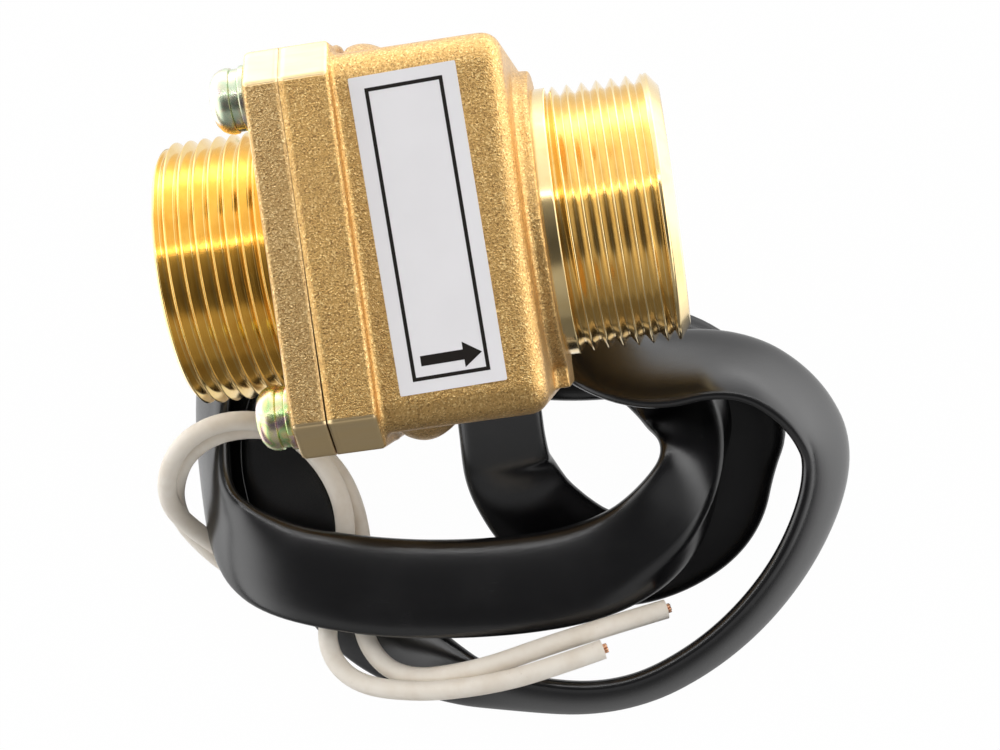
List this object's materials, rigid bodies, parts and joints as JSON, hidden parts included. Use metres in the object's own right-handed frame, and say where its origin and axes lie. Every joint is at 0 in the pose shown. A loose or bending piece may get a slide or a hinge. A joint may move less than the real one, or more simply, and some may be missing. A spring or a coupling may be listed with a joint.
{
  "type": "flow switch",
  "caption": "Inline brass flow switch with threaded inlet and outlet, bolted flange, spring-loaded magnet shuttle, reed sensor and a flat two-wire cable.",
  "frame": {"origin": "centre of the inlet mouth on the flow axis", "axes": "+X along the flow from inlet to outlet, +Z out of the labelled side, the part lying on its back on its own cable"},
  "size_m": [0.1205, 0.1149, 0.071],
  "materials": {
    "cast_brass": "sand cast, machined on the threads and faces",
    "cover_brass": "machined and cast",
    "zinc_screw": "yellow passivated zinc",
    "spring_steel": "bright spring steel",
    "stainless": "turned stainless",
    "seal_rubber": "black nitrile",
    "seat_ptfe": "white fluoropolymer",
    "acetal": "natural acetal",
    "magnet": "sintered magnet",
    "reed_glass": "clear green glass",
    "reed_lead": "nickel iron",
    "board": "epoxy board",
    "solder": "solder",
    "potting": "black potting resin",
    "label": "white printed label",
    "sleeve": "black flexible sleeve",
    "wire": "warm white insulation",
    "copper": "tinned copper strands"
  },
  "bodies": {
    "housing": {"outlet_body": "cast_brass", "inlet_cover": "cover_brass", "cover_oring": "seal_rubber", "cover_screws": "zinc_screw", "spring_washers": "zinc_screw", "plain_washers": "zinc_screw", "seat_ring": "seat_ptfe", "outlet_spider": "acetal", "guide_bush": "seat_ptfe", "retaining_ring": "spring_steel", "reed_glass": "reed_glass", "reed_blades": "reed_lead", "reed_board": "board", "inner_cores": "wire", "solder_pads": "solder", "pocket_potting": "potting", "flow_label": "label", "cable_sleeve": "sleeve", "wire_a": "wire", "wire_b": "wire", "conductor_ends": "copper", "return_spring": "spring_steel"},
    "shuttle": {"poppet": "acetal", "seal_disc": "seal_rubber", "guide_stem": "stainless", "magnet_ring": "magnet", "magnet_keeper": "stainless", "stem_clip": "spring_steel"}
  },
  "joints": [
    {"name": "shuttle_slide", "type": "slide", "parent": "housing", "child": "shuttle", "axis": [1, 0, 0], "range_m": [0, 0.006], "stiffness_N_per_m": 60, "deforming": ["return_spring"]}
  ]
}
